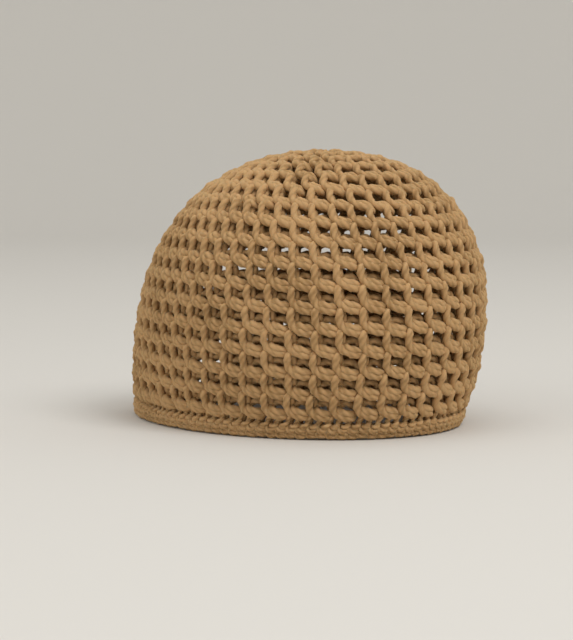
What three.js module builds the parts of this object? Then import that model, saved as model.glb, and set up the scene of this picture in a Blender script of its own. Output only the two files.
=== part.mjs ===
// Mesh hat: a round, close-fitting crocheted cap. An open net crown stands on a dense rim band.
// Millimetres, +Z up, front of the hat towards -Y, wearer's right towards -X, rim on z = 0.
import * as THREE from 'three';

// Rim outline and height of the dome, on the outside of the cloth.
const RIM_HALF_LENGTH = 101;
const RIM_HALF_WIDTH = 79;
const DOME_HEIGHT = 143;
const WALL = 4.6;

// Form of the dome. Its side and front outlines are superellipses that swell above the rim. It grows
// wider over the sides of the head and leans forward, as a cap does that is pulled down at the back.
const SIDE_OUTLINE = { topPower: 2.5, shoulderPower: 2.1 };
const FRONT_OUTLINE = { topPower: 2.7, shoulderPower: 2.7 };
const SWELL = 0.05;
const SIDE_WIDENING = 0.22;
const FORWARD_LEAN = 39;
const LEAN_EASE = 0.3;

// Rim band: height up the cloth, its clearance to the crown and the height of its ridges.
const BAND_HEIGHT = 13.5;
const BAND_CLEARANCE = 0.3;
const BAND_SEGMENTS = 96;
const RIDGE_COUNT = 2;
const RIDGE_STEPS = 4;
const RIDGE_HEIGHT = 1.4;

// Net of the crown: each gap stands for a block of the real stitches, with bars between the gaps.
const GAP_COLUMNS = 24;
const GAP_ROWS = 5;
const NET_START = 19;
const NET_END = 163;
const GAP_WIDTH_SHARE = 0.75;
const GAP_HEIGHT_SHARE = 0.67;
const GAP_LEAN_SHARE = 0.09;
const CLOSED_TOP_RINGS = 3;

const MERIDIAN_STEPS = 300;
const CROWN_COLOUR = 0xa98658;
const BAND_COLOUR = 0xa07c50;

/** Share of its width or length that the dome keeps at a rise of 0 (rim) to 1 (top). */
function fullness(outline, rise) {
  const { topPower, shoulderPower } = outline;
  return Math.max(1 - rise ** topPower, 0) ** (1 / shoulderPower) * (1 + SWELL * 4 * rise * (1 - rise));
}

/** Point of a meridian on the outside of the dome. */
function domePoint(azimuth, rise) {
  const halfWidth = RIM_HALF_WIDTH * (1 + SIDE_WIDENING * rise) * fullness(FRONT_OUTLINE, rise);
  const halfLength = RIM_HALF_LENGTH * fullness(SIDE_OUTLINE, rise);
  const forward = FORWARD_LEAN * rise * (1 - LEAN_EASE * rise);
  return new THREE.Vector3(
    halfWidth * Math.cos(azimuth),
    halfLength * Math.sin(azimuth) - forward,
    DOME_HEIGHT * rise,
  );
}

const knownMeridians = new Map();

/** A meridian walked at even pace: gives the point at a share of the way from rim to top. */
function meridian(azimuth) {
  if (knownMeridians.has(azimuth)) return knownMeridians.get(azimuth);
  const points = [];
  const walked = [0];
  for (let i = 0; i <= MERIDIAN_STEPS; i += 1) {
    const rise = Math.sin((i / MERIDIAN_STEPS) * (Math.PI / 2));
    points.push(domePoint(azimuth, rise));
    if (i > 0) walked.push(walked[i - 1] + points[i].distanceTo(points[i - 1]));
  }
  const length = walked[MERIDIAN_STEPS];
  const at = (share) => {
    const goal = Math.min(Math.max(share, 0), 1) * length;
    let i = 1;
    while (i < MERIDIAN_STEPS && walked[i] < goal) i += 1;
    const part = (goal - walked[i - 1]) / (walked[i] - walked[i - 1]);
    return points[i - 1].clone().lerp(points[i], part);
  };
  knownMeridians.set(azimuth, { at, length });
  return knownMeridians.get(azimuth);
}

const SIDE_LENGTH = meridian(0).length;
const shareOf = (distance) => distance / SIDE_LENGTH;

/** Point of the cloth, a depth in from its outside, at an azimuth and a share of the way up. */
function clothPoint(azimuth, share, depth) {
  const outside = meridian(azimuth).at(share);
  if (depth === 0) return outside;
  if (share > 0.999) return outside.setZ(outside.z - depth);
  const step = 0.004;
  const along = meridian(azimuth + step).at(share).sub(meridian(azimuth - step).at(share));
  const up = meridian(azimuth).at(share + step).sub(meridian(azimuth).at(share - step));
  return outside.addScaledVector(along.cross(up).normalize(), -depth);
}

/** A closed shell grown face by face: corners are named, so that faces share them. */
class Shell {
  constructor() {
    this.places = [];
    this.names = new Map();
    this.faces = [];
  }

  corner(name, makePoint) {
    if (!this.names.has(name)) {
      this.names.set(name, this.places.length / 3);
      this.places.push(...makePoint().toArray());
    }
    return this.names.get(name);
  }

  quad(a, b, c, d) {
    this.faces.push(a, b, c, a, c, d);
  }

  geometry() {
    const geometry = new THREE.BufferGeometry();
    geometry.setAttribute('position', new THREE.Float32BufferAttribute(this.places, 3));
    geometry.setIndex(this.faces);
    geometry.computeVertexNormals();
    return geometry;
  }
}

/** The eight corners of a cell's border and of its gap, in half cells from the cell's centre. */
const CELL_BORDER = [[-1, -1], [0, -1], [1, -1], [1, 0], [1, 1], [0, 1], [-1, 1], [-1, 0]];
const GAP_BORDER = [[-0.62, -0.8], [0, -1], [0.62, -0.8], [1, 0], [0.62, 0.8], [0, 1], [-0.62, 0.8], [-1, 0]];

/** Net crown: rows of pierced cells between a plain foot ring and a closed top. */
function netCrown() {
  const shell = new Shell();
  const columnStep = Math.PI / GAP_COLUMNS;
  const netStart = shareOf(NET_START);
  const rowStep = (shareOf(NET_END) - netStart) / GAP_ROWS / 2;
  const sides = 2 * GAP_COLUMNS;
  const layers = [['out', 0], ['in', WALL]];

  /** Corner of the half-cell grid on one face of the cloth. */
  const gridCorner = (layer, depth, halfColumn, level, share) => {
    const column = (halfColumn + sides) % sides;
    return shell.corner(`${layer} ${column} ${level}`, () => clothPoint(column * columnStep, share, depth));
  };

  /** Ring of plain faces between two levels of the grid, on both faces of the cloth. */
  const plainRing = (lowLevel, lowShare, highLevel, highShare) => {
    for (let k = 0; k < sides; k += 1) {
      for (const [layer, depth] of layers) {
        const ring = [
          gridCorner(layer, depth, k, lowLevel, lowShare),
          gridCorner(layer, depth, k + 1, lowLevel, lowShare),
          gridCorner(layer, depth, k + 1, highLevel, highShare),
          gridCorner(layer, depth, k, highLevel, highShare),
        ];
        if (layer === 'in') ring.reverse();
        shell.quad(...ring);
      }
    }
  };

  /** One cell: a frame of cloth round a rounded gap that goes right through. */
  const piercedCell = (column, row) => {
    const middle = 2 * column + 1;
    const height = netStart + (2 * row + 1) * rowStep;
    const gapCorner = (layer, depth, i) => shell.corner(`${layer} gap ${column} ${row} ${i}`, () => {
      const [across, up] = GAP_BORDER[i];
      const sideways = across * GAP_WIDTH_SHARE - up * GAP_LEAN_SHARE;
      return clothPoint((middle + sideways) * columnStep, height + up * GAP_HEIGHT_SHARE * rowStep, depth);
    });
    for (let i = 0; i < 8; i += 1) {
      const j = (i + 1) % 8;
      for (const [layer, depth] of layers) {
        const [a, b] = [CELL_BORDER[i], CELL_BORDER[j]].map(([across, up]) => (
          gridCorner(layer, depth, middle + across, 2 * row + 1 + up, height + up * rowStep)
        ));
        const frame = [a, b, gapCorner(layer, depth, j), gapCorner(layer, depth, i)];
        if (layer === 'in') frame.reverse();
        shell.quad(...frame);
      }
      shell.quad(gapCorner('out', 0, i), gapCorner('out', 0, j), gapCorner('in', WALL, j), gapCorner('in', WALL, i));
    }
  };

  const footShare = shareOf(BAND_HEIGHT + BAND_CLEARANCE);
  for (let k = 0; k < sides; k += 1) {
    shell.quad(
      gridCorner('in', WALL, k, 'foot', footShare),
      gridCorner('in', WALL, k + 1, 'foot', footShare),
      gridCorner('out', 0, k + 1, 'foot', footShare),
      gridCorner('out', 0, k, 'foot', footShare),
    );
  }
  plainRing('foot', footShare, 0, netStart);

  for (let row = 0; row < GAP_ROWS; row += 1) {
    for (let column = 0; column < GAP_COLUMNS; column += 1) piercedCell(column, row);
  }

  const netEnd = shareOf(NET_END);
  const ringShare = (ring) => netEnd + ((1 - netEnd) * ring) / (CLOSED_TOP_RINGS + 1);
  for (let ring = 0; ring < CLOSED_TOP_RINGS; ring += 1) {
    plainRing(2 * GAP_ROWS + ring, ringShare(ring), 2 * GAP_ROWS + ring + 1, ringShare(ring + 1));
  }
  for (const [layer, depth] of layers) {
    const top = shell.corner(`${layer} top`, () => clothPoint(0, 1, depth));
    const level = 2 * GAP_ROWS + CLOSED_TOP_RINGS;
    for (let k = 0; k < sides; k += 1) {
      const a = gridCorner(layer, depth, k, level, 0);
      const b = gridCorner(layer, depth, k + 1, level, 0);
      shell.faces.push(...(layer === 'out' ? [a, b, top] : [b, a, top]));
    }
  }
  return shell.geometry();
}

/** Rim band: a flat-bottomed section with rounded ridges outside, carried round the rim. */
function rimBand() {
  const shell = new Shell();
  const section = [[0, WALL], [0, 0]];
  for (let i = 1; i < RIDGE_COUNT * RIDGE_STEPS; i += 1) {
    const along = i / (RIDGE_COUNT * RIDGE_STEPS);
    section.push([BAND_HEIGHT * along, -RIDGE_HEIGHT * Math.abs(Math.sin(Math.PI * RIDGE_COUNT * along))]);
  }
  section.push([BAND_HEIGHT, 0], [BAND_HEIGHT, WALL], [BAND_HEIGHT / 2, WALL]);
  const corner = (segment, i) => {
    const turn = segment % BAND_SEGMENTS;
    return shell.corner(`${turn} ${i}`, () => {
      const [distance, depth] = section[i];
      const point = clothPoint((turn / BAND_SEGMENTS) * 2 * Math.PI, shareOf(distance), depth);
      return distance === 0 ? point.setZ(0) : point;
    });
  };
  for (let segment = 0; segment < BAND_SEGMENTS; segment += 1) {
    for (let i = 0; i < section.length; i += 1) {
      const j = (i + 1) % section.length;
      shell.quad(corner(segment, i), corner(segment + 1, i), corner(segment + 1, j), corner(segment, j));
    }
  }
  return shell.geometry();
}

/** A named piece in its own soft, matt yarn colour. */
function piece(name, geometry, color) {
  const mesh = new THREE.Mesh(geometry, new THREE.MeshStandardMaterial({ color, roughness: 0.95, metalness: 0 }));
  mesh.name = name;
  return mesh;
}

const hat = new THREE.Group();
hat.add(piece('crown', netCrown(), CROWN_COLOUR), piece('rim_band', rimBand(), BAND_COLOUR));

// The origin is under the middle of the whole hat, and the leaning dome reaches past the rim in front.
const reach = new THREE.Box3().setFromObject(hat);
hat.position.y = -(reach.min.y + reach.max.y) / 2;

export default hat;
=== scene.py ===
"""Crocheted mesh hat: a soft camel-brown cap of open net on a dense rim band, resting on its rim.

Lengths in this file are millimetres until a mesh is filled, which turns them to metres. The frame is
the model's own: +Z up, the front of the hat towards -Y and the wearer's right towards -X.
"""
import logging
import math
from dataclasses import dataclass, field
from enum import Enum

import bpy
import numpy as np
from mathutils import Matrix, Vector


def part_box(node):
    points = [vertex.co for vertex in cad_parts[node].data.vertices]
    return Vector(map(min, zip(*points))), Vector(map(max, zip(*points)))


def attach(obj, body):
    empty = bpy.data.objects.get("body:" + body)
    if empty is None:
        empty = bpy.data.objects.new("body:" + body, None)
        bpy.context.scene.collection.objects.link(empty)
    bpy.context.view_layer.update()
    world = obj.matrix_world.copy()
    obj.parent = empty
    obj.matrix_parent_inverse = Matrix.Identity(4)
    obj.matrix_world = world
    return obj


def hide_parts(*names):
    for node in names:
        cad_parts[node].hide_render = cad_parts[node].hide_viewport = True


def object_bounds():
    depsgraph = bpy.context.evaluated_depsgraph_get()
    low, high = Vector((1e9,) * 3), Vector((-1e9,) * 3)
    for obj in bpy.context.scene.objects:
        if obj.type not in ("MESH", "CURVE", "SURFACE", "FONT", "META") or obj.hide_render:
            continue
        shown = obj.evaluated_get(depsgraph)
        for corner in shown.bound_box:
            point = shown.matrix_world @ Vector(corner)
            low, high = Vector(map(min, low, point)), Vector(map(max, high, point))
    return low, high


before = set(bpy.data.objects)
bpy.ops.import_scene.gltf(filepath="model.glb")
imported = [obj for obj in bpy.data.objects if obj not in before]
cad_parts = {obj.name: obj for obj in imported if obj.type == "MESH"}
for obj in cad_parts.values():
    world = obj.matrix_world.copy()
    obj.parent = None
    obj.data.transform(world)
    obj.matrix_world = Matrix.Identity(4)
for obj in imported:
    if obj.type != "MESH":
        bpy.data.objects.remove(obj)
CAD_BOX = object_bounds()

logging.basicConfig(level=logging.INFO, format="%(message)s")
log = logging.getLogger("mesh_hat")

METRES = 0.001
FULL_TURN = 2 * math.pi
TINY = 1e-12
WAVE_BAND = FULL_TURN / 20  # a Wave Texture of this scale has one band to each unit of its vector
YARN_MAP = "yarn"
SQUARE_START = (0.3, 0.5, 0.8)  # any direction does that no strand starts along
BAND_LEAN = 2.1  # mm from the middle of the band's box back to the middle of the dome's rim
BODY = "root"


def linear_colour(hex_value: str) -> tuple[float, float, float, float]:
    """Turns an sRGB hex value into the linear colour that shaders and lights use.

    Args:
        hex_value: The colour as "#rrggbb".

    Returns:
        Linear red, green, blue and an alpha of 1.
    """
    levels = np.array([int(hex_value[i:i + 2], 16) / 255 for i in (1, 3, 5)])
    linear = np.where(levels <= 0.04045, levels / 12.92, ((levels + 0.055) / 1.055) ** 2.4)
    return (*map(float, linear), 1.0)


def add_node(tree: bpy.types.NodeTree, kind: str, settings: dict | None = None,
             **links: object) -> bpy.types.Node:
    """Adds a node with its settings and links.

    Args:
        tree: The node tree that gets the node.
        kind: The node's type name.
        settings: Values for the node's own properties, by name.
        **links: By input name, with _ for a space, or as in0, in1 and so on by number, an output
            socket to link or a value to set.

    Returns:
        The new node.
    """
    node = tree.nodes.new(kind)
    for name, value in (settings or {}).items():
        setattr(node, name, value)
    for name, value in links.items():
        numbered = name.startswith("in") and name[2:].isdigit()
        socket = node.inputs[int(name[2:]) if numbered else name.replace("_", " ")]
        if isinstance(value, bpy.types.NodeSocket):
            tree.links.new(value, socket)
        else:
            socket.default_value = value
    return node


def unit(vectors: np.ndarray) -> np.ndarray:
    """Scales vectors in the last axis to length 1."""
    return vectors / np.maximum(np.linalg.norm(vectors, axis=-1, keepdims=True), TINY)


@dataclass(frozen=True)
class PliedWool:
    """Three-ply wool-blend yarn, spun soft: matt, with a pale bloom where its fibres catch the light.

    Colours are sRGB. The fleck and ply tones say how much a fleck and a ply add to the tone of the slow
    drift, and the tone range which tones give the darker colour and the body. The darker colour is the
    dyed dark of the flecks and the drift, and also painted shade: the ply's share darkens the colour in
    the grooves between the plies, where shade falls. A real fibre is about 0.03 mm across, too fine to
    show, so fibre_mm is a tuft of them.
    """

    name: str = "camel_plied_wool"
    body: str = "#c29c6e"
    # dark end of the colour: the dyed dark of flecks and drift, and the painted shade of the ply grooves
    dark_fleck_and_groove_shade: str = "#9a784e"
    bloom: str = "#e6c690"
    roughness: float = 0.92
    specular: float = 0.25
    bloom_weight: float = 0.4
    bloom_roughness: float = 0.45
    glow_weight: float = 0.25
    glow_reach_mm: tuple[float, float, float] = (1.6, 1.0, 0.55)
    patch_mm: float = 34.0
    fleck_mm: float = 1.6
    fleck_tone: float = 0.4
    ply_mm: float = 3.6
    ply_height_mm: float = 0.3
    # how much the plies' wave adds to the tone: painted shade, darker in the grooves between the plies
    ply_groove_shade: float = 0.36
    tone_range: tuple[float, float] = (0.55, 1.0)
    fibre_mm: float = 0.28
    fibre_run: float = 0.12
    fibre_height_mm: float = 0.10

    def material(self) -> bpy.types.Material:
        """Builds the yarn's material.

        The colour drifts slowly over the hat, as dyed wool does, and flecks at the size of a tuft. The
        plies and the fibres run along the strand, so their bumps read the yarn's own map: mm along and
        plies around, the latter turning with the twist. The plies' wave also paints shade into the
        colour:
        the grooves between the plies are darker than the crests. A fibre's noise is drawn out along the
        strand by 1 / fibre_run. Light goes a little way into the soft fibres.

        Returns:
            The material.
        """
        material = bpy.data.materials.new(self.name)
        material.use_nodes = True
        tree = material.node_tree
        tree.nodes.clear()
        place = add_node(tree, "ShaderNodeTexCoord").outputs["Object"]
        strand = add_node(tree, "ShaderNodeUVMap", {"uv_map": YARN_MAP}).outputs["UV"]
        drift = add_node(tree, "ShaderNodeTexNoise", Vector=place,
                         Scale=1 / (self.patch_mm * METRES), Detail=2.0)
        fleck = add_node(tree, "ShaderNodeTexNoise", Vector=place,
                         Scale=1 / (self.fleck_mm * METRES), Detail=3.0)
        plies = add_node(tree, "ShaderNodeTexWave", {"bands_direction": "Y"}, Vector=strand,
                         Scale=WAVE_BAND, Phase_Offset=math.pi)
        mottle = add_node(tree, "ShaderNodeMath", {"operation": "MULTIPLY_ADD"},
                          in0=fleck.outputs["Fac"], in1=self.fleck_tone, in2=drift.outputs["Fac"])
        # painted shade: the ply wave lowers the tone in the grooves between the plies, on top of the
        # dyed mottle
        tone = add_node(tree, "ShaderNodeMath", {"operation": "MULTIPLY_ADD"},
                        in0=plies.outputs["Fac"], in1=self.ply_groove_shade, in2=mottle.outputs["Value"])
        # low tones take the darker colour: dyed flecks and drift, and the painted shade of the ply
        # grooves
        ramp = add_node(tree, "ShaderNodeValToRGB", Fac=tone.outputs["Value"])
        low, high = ramp.color_ramp.elements
        low.position, high.position = self.tone_range
        low.color, high.color = linear_colour(self.dark_fleck_and_groove_shade), linear_colour(self.body)
        along = add_node(tree, "ShaderNodeMapping", Vector=strand,
                         Scale=(self.fibre_run, self.ply_mm, 1.0))
        fibres = add_node(tree, "ShaderNodeTexNoise", Vector=along.outputs["Vector"],
                          Scale=1 / self.fibre_mm, Detail=2.0)
        lobes = add_node(tree, "ShaderNodeBump", Height=plies.outputs["Fac"], Strength=1.0,
                         Distance=self.ply_height_mm * METRES)
        bump = add_node(tree, "ShaderNodeBump", Height=fibres.outputs["Fac"], Strength=1.0,
                        Distance=self.fibre_height_mm * METRES, Normal=lobes.outputs["Normal"])
        shader = add_node(tree, "ShaderNodeBsdfPrincipled", Base_Color=ramp.outputs["Color"],
                          Roughness=self.roughness, Normal=bump.outputs["Normal"],
                          Sheen_Weight=self.bloom_weight, Sheen_Roughness=self.bloom_roughness,
                          Sheen_Tint=linear_colour(self.bloom), Specular_IOR_Level=self.specular,
                          Subsurface_Weight=self.glow_weight, Subsurface_Radius=self.glow_reach_mm,
                          Subsurface_Scale=METRES)
        add_node(tree, "ShaderNodeOutputMaterial", Surface=shader.outputs["BSDF"])
        return material


@dataclass(frozen=True)
class PaperSweep:
    """Matt seamless paper, as a studio floor is: one pale tone with no grain to show."""

    name: str = "studio_paper"
    tone: str = "#d9d6d0"
    roughness: float = 0.95

    def material(self) -> bpy.types.Material:
        """Builds the paper's material."""
        material = bpy.data.materials.new(self.name)
        material.use_nodes = True
        shader = material.node_tree.nodes["Principled BSDF"]
        shader.inputs["Base Color"].default_value = linear_colour(self.tone)
        shader.inputs["Roughness"].default_value = self.roughness
        return material


@dataclass
class Dome:
    """The form that the cloth follows: an oval rim under a round top that leans forward.

    At a rise t, from 0 at the rim to 1 at the top, the half width is
    rim_half_width (1 + side_widening t) (1 - t^p)^(1/q), the half length is the same without the
    widening and with its own powers, both swell by swell 4 t (1 - t), and the middle moves forward
    by forward_lean t (1 - lean_ease t). Over the last of the rise the ovals turn into circles, as the
    first rounds of the work are. The form is kept as a table of turns by levels, walked at an even
    pace over steps that are finer by the two counts given.
    """

    rim_half_length: float = 101.0
    rim_half_width: float = 79.0
    height: float = 143.0
    side_powers: tuple[float, float] = (2.5, 2.1)
    front_powers: tuple[float, float] = (2.7, 2.7)
    swell: float = 0.05
    side_widening: float = 0.22
    forward_lean: float = 39.0
    lean_ease: float = 0.3
    rim_middle_y: float = 0.0
    circles_from: float = 0.82
    even_rise: float = 1 / 3
    least_half: float = 1e-6
    turns: int = 720
    levels: int = 420
    finer: tuple[int, int] = (20, 4)
    places: np.ndarray = field(init=False, repr=False)
    axes: np.ndarray = field(init=False, repr=False)
    arc: float = field(init=False)

    def __post_init__(self) -> None:
        """Fills the table of places and of the cloth's directions: around, up and out."""
        table = self.even_meridians(self.even_azimuths())
        around = np.roll(table, -1, 0) - np.roll(table, 1, 0)
        up = np.gradient(table, axis=1)
        around[:, -1] = around[:, -2]
        out = unit(np.cross(around, up))
        out[:, -1] = (0, 0, 1)
        around = unit(around)
        self.places = table
        self.axes = np.stack([around, unit(np.cross(out, around)), out], axis=-2)
        self.arc = float(np.linalg.norm(np.diff(table[0], axis=0), axis=1).sum())

    def outside(self, azimuth: np.ndarray, rise: np.ndarray) -> np.ndarray:
        """Gives points of the cloth's outside by the class's formula.

        Args:
            azimuth: Angles round the rim.
            rise: Shares of the height, broadcast against the angles.

        Returns:
            Points, with x, y and z last.
        """
        swelling = 1 + self.swell * 4 * rise * (1 - rise)
        (side_top, side_shoulder), (front_top, front_shoulder) = self.side_powers, self.front_powers
        side = np.maximum(1 - rise ** side_top, 0) ** (1 / side_shoulder) * swelling
        front = np.maximum(1 - rise ** front_top, 0) ** (1 / front_shoulder) * swelling
        forward = self.forward_lean * rise * (1 - self.lean_ease * rise)
        half_width = self.rim_half_width * (1 + self.side_widening * rise) * front
        half_length = self.rim_half_length * side
        late = np.clip((rise - self.circles_from) / (1 - self.circles_from), 0, 1)
        oval = (half_length + self.least_half) / (half_width + self.least_half)
        even = oval ** (late * late * (3 - 2 * late) / 2)
        x = half_width * even * np.cos(azimuth)
        y = half_length / even * np.sin(azimuth) - forward + self.rim_middle_y
        return np.stack([x, y, self.height * rise + 0 * x], axis=-1)

    def even_azimuths(self) -> np.ndarray:
        """Spaces the meridians evenly along the oval at even_rise, counted from +X."""
        fine = np.linspace(0, FULL_TURN, self.finer[0] * self.turns + 1)
        oval = self.outside(fine, np.full_like(fine, self.even_rise))
        walked = np.concatenate([[0], np.cumsum(np.linalg.norm(np.diff(oval, axis=0), axis=1))])
        return np.interp(np.arange(self.turns) / self.turns * walked[-1], walked, fine)

    def even_meridians(self, azimuths: np.ndarray) -> np.ndarray:
        """Walks each meridian from rim to top at an even pace.

        Args:
            azimuths: The meridians' azimuths.

        Returns:
            Points, one row per meridian and one column per level.
        """
        rise = np.sin(np.linspace(0, math.pi / 2, self.finer[1] * self.levels))
        rows = []
        for line in self.outside(azimuths[:, None], rise[None, :]):
            walked = np.concatenate([[0], np.cumsum(np.linalg.norm(np.diff(line, axis=0), axis=1))])
            even = np.linspace(0, walked[-1], self.levels)
            rows.append(np.stack([np.interp(even, walked, line[:, i]) for i in range(3)], axis=-1))
        return np.array(rows)

    def lookup(self, table: np.ndarray, share: np.ndarray, distance: np.ndarray) -> np.ndarray:
        """Reads a table between its entries, evenly weighted by nearness.

        Args:
            table: Values by meridian and level.
            share: Share of the way round, from 0 to 1, any turn.
            distance: Distance up the cloth from the rim, in mm of the side's meridian.

        Returns:
            The table's values at those places.
        """
        column = np.mod(share, 1) * self.turns
        level = np.clip(distance / self.arc, 0, 1) * (self.levels - 1)
        left = np.floor(column).astype(int) % self.turns
        low = np.minimum(np.floor(level).astype(int), self.levels - 2)
        right = (left + 1) % self.turns
        extra = (1,) * (table.ndim - 2)
        across = (column - np.floor(column)).reshape(column.shape + extra)
        up = (level - low).reshape(level.shape + extra)
        lower = table[left, low] * (1 - across) + table[right, low] * across
        upper = table[left, low + 1] * (1 - across) + table[right, low + 1] * across
        return lower * (1 - up) + upper * up


@dataclass
class Yarn:
    """Round yarn of three plies twisted together: lay is the length of one full twist."""

    diameter: float
    plies: int = 3
    ply_relief: float = 0.2
    lay: float = 13.0
    sides: int = 9

    def section(self, angle: np.ndarray) -> np.ndarray:
        """Gives the section's radius at an angle: a circle with one low lobe to each ply."""
        lobes = (np.cos(self.plies * angle) - 1) / 2
        return self.diameter / 2 * (1 + self.ply_relief * lobes)


@dataclass
class Stitch:
    """One repeat of a round: the yarn's path through a cell, as columns across, up, out and thickness.

    Across runs to the right as seen from outside, up runs towards the top of the hat and out is the
    height over the middle of the cloth, all in mm. Thickness is a share of the yarn's own: a strand
    under tension draws thin and a slack one plumps up. The path ends one cell to the right of its
    start. The hand's unevenness shifts a whole cell, and each point by point_share of that; uneven
    weighs it over the four values of the path.
    """

    path: tuple[tuple[float, float, float, float], ...]
    width: float
    height: float
    samples: int
    uneven: tuple[float, float, float, float] = (1.0, 1.0, 0.6, 0.1)
    point_share: float = 0.25

    def smooth(self, cells: int, jitter: float, seed: int) -> np.ndarray:
        """Carries the path through a closed round of cells and smooths it by a Catmull-Rom spline.

        Args:
            cells: Number of cells in the round.
            jitter: Spread of the hand's unevenness, in mm.
            seed: Seed of the unevenness.

        Returns:
            Samples by cell, as cells walked, up, out and thickness.
        """
        points = np.tile(np.array(self.path, float), (cells, 1, 1))
        rng = np.random.default_rng(seed)
        whole_cell = rng.normal(0, jitter, (cells, 1, 4))
        single_point = rng.normal(0, jitter * self.point_share, points.shape)
        points += (whole_cell + single_point) * self.uneven
        points[..., 0] = points[..., 0] / self.width + np.arange(cells)[:, None]
        count = len(self.path)
        line = points.reshape(-1, 4)
        period = np.array([cells, 0, 0, 0], float)
        line = np.concatenate([line[-1:] - period, line, line[:2] + period])
        at = np.arange(cells * self.samples) * (count / self.samples)
        start = np.floor(at).astype(int)
        t = (at - start)[:, None]
        a, b, c, d = (line[start + k] for k in range(4))
        curve = 0.5 * (2 * b + (c - a) * t + (2 * a - 5 * b + 4 * c - d) * t ** 2
                       + (3 * b - 3 * c + d - a) * t ** 3)
        return curve.reshape(cells, self.samples, 4)


# Up the post's back leg, over the bar above and down its front leg, then right along the bar, left again
# above that strand, and in an arch behind the gap to the next post.
NET_STITCH = Stitch(
    width=12.0, height=11.5, samples=72,
    path=(
        (-0.9, 4.7, -2.3, 0.98), (0.6, 3.8, -2.2, 0.95), (1.9, 5.2, -1.8, 0.95), (2.1, 7.4, -1.2, 0.95),
        (1.8, 9.4, -0.9, 0.92), (1.3, 11.2, -0.9, 0.9), (0.9, 12.3, -0.1, 0.9), (0.4, 12.4, 1.5, 0.95),
        (0.0, 11.3, 2.5, 1.0), (-0.2, 9.8, 2.4, 1.04), (-0.3, 8.1, 2.0, 1.04), (-0.1, 6.4, 1.6, 1.04),
        (0.6, 4.6, 1.5, 1.06), (2.0, 2.9, 1.7, 1.08), (4.2, 1.7, 2.0, 1.1), (6.6, 0.9, 2.0, 1.1),
        (9.0, 0.3, 1.6, 1.06), (11.0, 0.2, 0.3, 1.0), (12.0, 1.1, -1.2, 0.92), (10.9, 2.2, 0.2, 0.95),
        (8.9, 2.8, 1.4, 1.04), (6.6, 3.3, 1.8, 1.08), (4.4, 4.0, 1.6, 1.08), (3.1, 4.6, 0.3, 1.0),
        (2.6, 4.4, -1.4, 0.92), (3.5, 5.9, -2.2, 0.98), (5.3, 7.2, -2.5, 1.04), (7.5, 7.4, -2.5, 1.04),
        (9.5, 6.5, -2.5, 1.02),
    ),
)

# One slack strand round the middle of the top, which holds the first round.
STARTING_RING = Stitch(
    width=4.1, height=1.0, samples=16,
    path=((0.0, 0.0, 0.3, 1.05), (1.4, 0.1, 0.5, 1.05), (2.7, -0.1, 0.2, 1.05)),
)

# The net's way round on a small cell, with the last strand flat behind: the two front ones are its head.
BAND_STITCH = Stitch(
    width=5.3, height=4.2, samples=34,
    path=(
        (-0.5, 1.0, -1.6, 0.85), (0.8, 1.6, -1.5, 0.84), (1.7, 3.0, -1.4, 0.84), (1.9, 4.3, -0.9, 0.84),
        (1.6, 4.8, 0.4, 0.85), (1.1, 4.0, 1.3, 0.88), (0.6, 2.7, 1.4, 0.9), (0.6, 1.3, 1.7, 0.92),
        (1.8, 0.6, 1.9, 0.94), (3.5, 0.4, 1.9, 0.94), (5.3, 0.6, 1.4, 0.92), (6.1, 1.3, 0.1, 0.88),
        (5.5, 2.0, 1.3, 0.92), (4.1, 2.4, 1.8, 0.94), (2.8, 2.6, 1.5, 0.92), (2.3, 1.9, -0.6, 0.85),
        (3.4, 1.2, -1.7, 0.85),
    ),
)

# The band's stitch again, but with legs that reach up behind the net's lowest bars.
JOINING_STITCH = Stitch(
    width=5.3, height=8.0, samples=42,
    path=(
        (-0.5, 1.4, -1.6, 0.85), (0.8, 2.2, -1.6, 0.84), (1.7, 4.2, -1.7, 0.84), (2.0, 6.2, -1.7, 0.84),
        (2.0, 7.9, -1.5, 0.84), (1.7, 8.6, -0.2, 0.84), (1.2, 7.4, 0.6, 0.86), (0.7, 5.8, -0.1, 0.88),
        (0.3, 4.2, 0.2, 0.9), (0.1, 2.6, 1.1, 0.92), (0.9, 1.1, 2.0, 0.95), (2.6, 0.4, 2.4, 0.98),
        (4.5, 0.9, 2.1, 0.96), (6.0, 2.2, 0.5, 0.88), (6.3, 3.3, -0.8, 0.84), (5.8, 3.6, 0.9, 0.9),
        (4.6, 3.0, 2.0, 0.96), (3.2, 2.5, 1.7, 0.92), (2.4, 2.2, -0.6, 0.84), (3.4, 1.7, -1.7, 0.84),
    ),
)


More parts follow.
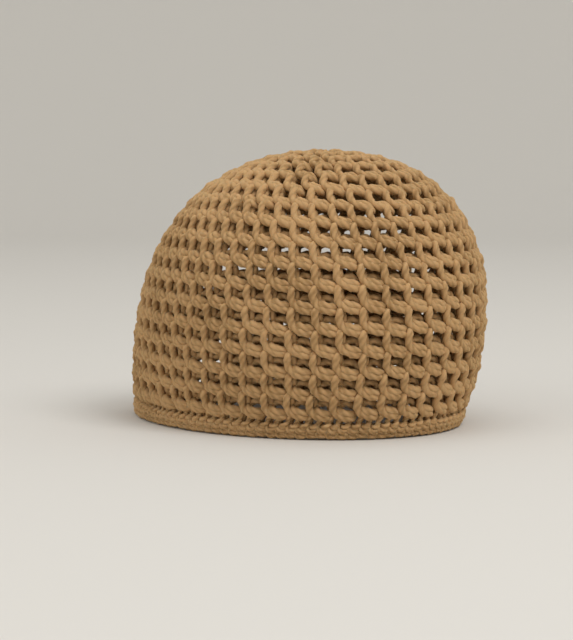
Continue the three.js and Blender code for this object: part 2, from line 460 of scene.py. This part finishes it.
@dataclass
class CrochetPiece:
    """A piece of cloth in one mesh, gathered round by round."""

    name: str
    dome: Dome
    yarn: Yarn
    vertices: list[np.ndarray] = field(default_factory=list)
    faces: list[np.ndarray] = field(default_factory=list)
    maps: list[np.ndarray] = field(default_factory=list)
    count: int = 0

    def add_round(self, stitch: Stitch, cells: int, start: float, height: float, depth: float,
                  jitter: float, seed: int, turn: float = 0.0) -> None:
        """Works one round: the stitch's path is bent onto the dome and the yarn carried along it.

        Args:
            stitch: The stitch that repeats.
            cells: Number of repeats.
            start: Distance of the round's lower edge from the rim.
            height: Height of the round.
            depth: Depth of the cloth's middle below the dome's outside.
            jitter: The hand's unevenness.
            seed: Seed of the unevenness.
            turn: Shift of the first cell, in cells.
        """
        flat = stitch.smooth(cells, jitter, seed)
        share = (flat[..., 0] + turn) / cells
        distance = start + flat[..., 1] * (height / stitch.height)
        places = self.dome.lookup(self.dome.places, share, distance)
        axes = self.dome.lookup(self.dome.axes, share, distance)
        line = (places + (flat[..., 2:3] - depth) * axes[..., 2, :]).reshape(-1, 3)
        normals = self.carried_normals(stitch, cells, axes)
        tangent = unit(np.roll(line, -1, 0) - np.roll(line, 1, 0))
        first = unit(normals - (normals * tangent).sum(1, keepdims=True) * tangent)
        second = np.cross(tangent, first)
        self.add_tube(line, first, second, flat[..., 3].ravel())

    def carried_normals(self, stitch: Stitch, cells: int, axes: np.ndarray) -> np.ndarray:
        """Carries a normal along one flat repeat without twist and bends it onto the dome.

        Each step takes the last normal's part square to the new direction. What is left over at the
        end of the repeat is spread over it, so that the repeats join.

        Args:
            stitch: The stitch that repeats.
            cells: Number of repeats.
            axes: The cloth's directions at each sample.

        Returns:
            One normal per sample.
        """
        flat = stitch.smooth(3, 0.0, 0)[..., :3].reshape(-1, 3) * (stitch.width, 1, 1)
        middle = np.arange(stitch.samples, 2 * stitch.samples + 1)
        tangent = unit(flat[middle + 1] - flat[middle - 1])
        normal = np.zeros_like(tangent)
        normal[0] = unit(np.cross(tangent[0], SQUARE_START))
        for i in range(1, len(middle)):
            normal[i] = unit(normal[i - 1] - normal[i - 1] @ tangent[i] * tangent[i])
        side = np.cross(tangent, normal)
        left_over = math.atan2(normal[0] @ side[-1], normal[0] @ normal[-1])
        angle = left_over * np.arange(len(middle)) / stitch.samples
        normal = normal * np.cos(angle)[:, None] + side * np.sin(angle)[:, None]
        tiled = np.tile(normal[:-1], (cells, 1, 1))
        return np.einsum("csk,cskx->csx", tiled, axes).reshape(-1, 3)

    def add_tube(self, line: np.ndarray, first: np.ndarray, second: np.ndarray,
                 thickness: np.ndarray) -> None:
        """Carries the yarn's section along a closed line; its twist is trimmed to close on itself.

        At an angle of the section, the surface lies from the line by the section's radius times the
        thickness, in the direction cos(angle + twist) first + sin(angle + twist) second.

        Args:
            line: Points of the yarn's middle.
            first: A direction square to the line at each point.
            second: The direction square to both.
            thickness: The strand's thickness at each point, as a share of the yarn's own.
        """
        steps = np.linalg.norm(np.roll(line, -1, 0) - line, axis=1)
        walked = np.concatenate([[0], np.cumsum(steps)])
        turns = round(walked[-1] / self.yarn.lay * self.yarn.plies) / self.yarn.plies
        twist = walked[:-1] / walked[-1] * turns * FULL_TURN
        ring = np.arange(self.yarn.sides) / self.yarn.sides * FULL_TURN
        radius = self.yarn.section(ring)[None, :, None]
        angle = ring[None, :] + twist[:, None]
        offset = np.cos(angle)[..., None] * first[:, None] + np.sin(angle)[..., None] * second[:, None]
        points = line[:, None] + radius * thickness[:, None, None] * offset
        n, m = len(line), self.yarn.sides
        i, j = np.meshgrid(np.arange(n), np.arange(m), indexing="ij")
        i2, j2 = (i + 1) % n, (j + 1) % m
        quads = np.stack([i * m + j, i2 * m + j, i2 * m + j2, i * m + j2], axis=-1).reshape(-1, 4)
        along = np.stack([walked[i], walked[i + 1], walked[i + 1], walked[i]], axis=-1)
        around = np.stack([j, j, j + 1, j + 1], axis=-1) / m * self.yarn.plies
        self.vertices.append(points.reshape(-1, 3))
        self.faces.append(quads + self.count)
        self.maps.append(np.stack([along, around], axis=-1).reshape(-1, 2))
        self.count += n * m

    def finish(self, material: bpy.types.Material, node: str) -> bpy.types.Object:
        """Fills the mesh, dresses it and gives it its place in the model.

        Args:
            material: The yarn's material.
            node: The solid that this piece stands for.

        Returns:
            The piece's object.
        """
        mesh = bpy.data.meshes.new(self.name)
        points = np.concatenate(self.vertices) * METRES
        quads = np.concatenate(self.faces)
        mesh.vertices.add(len(points))
        mesh.vertices.foreach_set("co", points.ravel())
        mesh.loops.add(quads.size)
        mesh.loops.foreach_set("vertex_index", quads.ravel())
        mesh.polygons.add(len(quads))
        mesh.polygons.foreach_set("loop_start", np.arange(0, quads.size, 4))
        mesh.polygons.foreach_set("use_smooth", np.ones(len(quads), bool))
        mesh.uv_layers.new(name=YARN_MAP).uv.foreach_set("vector", np.concatenate(self.maps).ravel())
        mesh.update(calc_edges=True)
        mesh.validate()
        mesh.materials.append(material)
        piece = bpy.data.objects.new(self.name, mesh)
        bpy.context.scene.collection.objects.link(piece)
        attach(piece, BODY)
        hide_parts(node)
        log.info("%s: %d triangles", self.name, 2 * len(quads))
        return piece


@dataclass
class NetCrown:
    """The open net, worked from a ring at the top down in rounds of posts and chain bars.

    Rounds are counted from the band up. Each has added_per_round cells more than the one above it, up
    to the number of columns. The edges and gaps are mm of the cloth.
    """

    dome: Dome
    yarn: Yarn = field(default_factory=lambda: Yarn(diameter=4.1))
    rounds: int = 16
    first_edge: float = 11.8
    centre_gap: float = 5.6
    ring_radius: float = 4.6
    columns: int = 48
    added_per_round: int = 7
    cloth_middle: float = 3.0
    jitter: float = 0.32
    ring_jitter: float = 0.1
    turn: float = 0.17
    groups: tuple[tuple[str, int, int], ...] = (
        ("net_lower", 0, 3), ("net_side", 3, 6), ("net_middle", 6, 9), ("net_upper", 9, 12),
        ("net_top", 12, 16))

    def build(self, material: bpy.types.Material) -> list[bpy.types.Object]:
        """Works the rounds, a few to a piece."""
        height = (self.dome.arc - self.centre_gap - self.first_edge) / self.rounds
        pieces = []
        for name, first, last in self.groups:
            cloth = CrochetPiece(name, self.dome, self.yarn)
            for row in range(first, last):
                cells = min(self.columns, self.added_per_round * (self.rounds - row))
                cloth.add_round(NET_STITCH, cells, self.first_edge + row * height, height,
                                self.cloth_middle, self.jitter, seed=row, turn=self.turn)
            if last == self.rounds:
                cloth.add_round(STARTING_RING, self.added_per_round, self.dome.arc - self.ring_radius,
                                STARTING_RING.height, self.cloth_middle, self.ring_jitter,
                                seed=self.rounds)
            pieces.append(cloth.finish(material, "crown"))
        return pieces


@dataclass
class RimBand:
    """The dense band: two rounds of short stitches whose heads lie as ridges round the rim.

    The upper round reaches up to the net's lowest bars, which leaves a row of small gaps under them.
    """

    dome: Dome
    yarn: Yarn = field(default_factory=lambda: Yarn(diameter=3.3))
    stitches: int = 108
    edges: tuple[float, float] = (1.5, 4.5)
    cloth_middle: float = 2.3
    jitter: float = 0.15
    first_seed: int = 100

    def build(self, material: bpy.types.Material) -> bpy.types.Object:
        """Works the rounds of the band into one piece."""
        cloth = CrochetPiece("rim_rounds", self.dome, self.yarn)
        for row, stitch in enumerate((BAND_STITCH, JOINING_STITCH)):
            cloth.add_round(stitch, self.stitches, self.edges[row], stitch.height, self.cloth_middle,
                            self.jitter, seed=self.first_seed + row)
        return cloth.finish(material, "rim_band")


class Side(Enum):
    """Where a light stands, in degrees: its azimuth from the camera's, and its elevation."""

    KEY = (38.0, 48.0)
    FILL = (-55.0, 25.0)
    TOP = (0.0, 85.0)


@dataclass
class Studio:
    """A pale paper floor that sweeps up all round, soft lights and the camera."""

    picture_width: int = 573
    picture_height: int = 640
    azimuth: float = -35.0
    elevation: float = 5.0
    distance: float = 1300.0
    pixels_per_mm: float = 1.87
    hat_pixel: tuple[float, float] = (302.0, 285.0)
    sensor_mm: float = 24.0
    floor_radius: float = 1800.0
    sweep_radius: float = 1500.0
    sweep_steps: int = 33
    sweep_sides: int = 128
    room_tone: str = "#f0eeea"
    room_strength: float = 0.65
    light_distance: float = 2600.0
    view_limit_m: float = 100.0
    powers: tuple[tuple[Side, float, float], ...] = (
        (Side.KEY, 26.0, 1200.0), (Side.FILL, 8.5, 2000.0), (Side.TOP, 13.0, 2400.0))

    def build(self) -> None:
        """Lays the floor and sets up the lights, the surroundings' light and the camera."""
        low, high = CAD_BOX
        middle = (Vector(low) + Vector(high)) / 2
        self.lay_floor()
        for side, power, size in self.powers:
            self.add_light(side, power, size, middle)
        world = bpy.data.worlds.new("soft_room")
        world.use_nodes = True
        background = world.node_tree.nodes["Background"]
        background.inputs["Color"].default_value = linear_colour(self.room_tone)
        background.inputs["Strength"].default_value = self.room_strength
        bpy.context.scene.world = world
        bpy.context.scene.view_settings.view_transform = "Standard"
        self.add_camera(middle)

    def lay_floor(self) -> None:
        """Makes the paper: a flat disc whose edge turns up all round by a quarter circle."""
        bend = np.linspace(0, math.pi / 2, self.sweep_steps)
        out = self.floor_radius + self.sweep_radius * np.sin(bend)
        up = self.sweep_radius * (1 - np.cos(bend))
        turn = np.linspace(0, FULL_TURN, self.sweep_sides, endpoint=False)
        points = np.stack([out[:, None] * np.cos(turn), out[:, None] * np.sin(turn),
                           np.broadcast_to(up[:, None], (len(up), len(turn)))], axis=-1)
        points = np.concatenate([points.reshape(-1, 3), [[0.0, 0.0, 0.0]]]) * METRES
        n, m = len(up), len(turn)
        i, j = np.meshgrid(np.arange(n - 1), np.arange(m), indexing="ij")
        k = (j + 1) % m
        walls = np.stack([i * m + j, (i + 1) * m + j, (i + 1) * m + k, i * m + k], axis=-1)
        centre = [(n * m, a, (a + 1) % m) for a in range(m)]
        mesh = bpy.data.meshes.new("paper_floor")
        mesh.from_pydata(points.tolist(), [], walls.reshape(-1, 4).tolist() + centre)
        mesh.polygons.foreach_set("use_smooth", np.ones(len(mesh.polygons), bool))
        mesh.materials.append(PaperSweep().material())
        floor = bpy.data.objects.new("paper_floor", mesh)
        bpy.context.scene.collection.objects.link(floor)

    def direction(self, azimuth: float, elevation: float) -> Vector:
        """Gives the direction from the hat to a place, azimuth 0 being in front of the hat."""
        a, e = math.radians(azimuth), math.radians(elevation)
        return Vector((math.sin(a) * math.cos(e), -math.cos(a) * math.cos(e), math.sin(e)))

    def add_light(self, side: Side, power: float, size: float, target: Vector) -> None:
        """Adds a square soft light that faces the hat.

        Args:
            side: Where it stands.
            power: Its power in watts.
            size: The length of its side in mm.
            target: The point that it faces.
        """
        around, up = side.value
        lamp = bpy.data.lights.new(f"{side.name.lower()}_softbox", "AREA")
        lamp.energy = power
        lamp.size = size * METRES
        light = bpy.data.objects.new(lamp.name, lamp)
        toward = self.direction(self.azimuth + around, up)
        light.location = target + toward * self.light_distance * METRES
        light.rotation_euler = toward.to_track_quat("Z", "Y").to_euler()
        bpy.context.scene.collection.objects.link(light)

    def add_camera(self, middle: Vector) -> None:
        """Places the camera so that the hat's middle falls on its pixel of the picture."""
        toward = self.direction(self.azimuth, self.elevation)
        turn = toward.to_track_quat("Z", "Y")
        right, up = turn @ Vector((1, 0, 0)), turn @ Vector((0, 1, 0))
        across = (self.picture_width / 2 - self.hat_pixel[0]) / self.pixels_per_mm * METRES
        rise = (self.hat_pixel[1] - self.picture_height / 2) / self.pixels_per_mm * METRES
        lens = bpy.data.cameras.new("camera")
        lens.sensor_fit = "VERTICAL"
        lens.sensor_height = self.sensor_mm
        lens.lens = self.sensor_mm * self.pixels_per_mm * self.distance / self.picture_height
        lens.clip_end = self.view_limit_m
        camera = bpy.data.objects.new("camera", lens)
        camera.location = middle + toward * self.distance * METRES + right * across + up * rise
        camera.rotation_euler = turn.to_euler()
        bpy.context.scene.collection.objects.link(camera)
        bpy.context.scene.camera = camera


def main() -> None:
    """Builds the hat round its frame, then the studio."""
    low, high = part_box("rim_band")
    dome = Dome(rim_middle_y=(low.y + high.y) / 2 / METRES + BAND_LEAN)
    wool = PliedWool().material()
    NetCrown(dome).build(wool)
    RimBand(dome).build(wool)
    Studio().build()


if __name__ == "__main__":
    main()
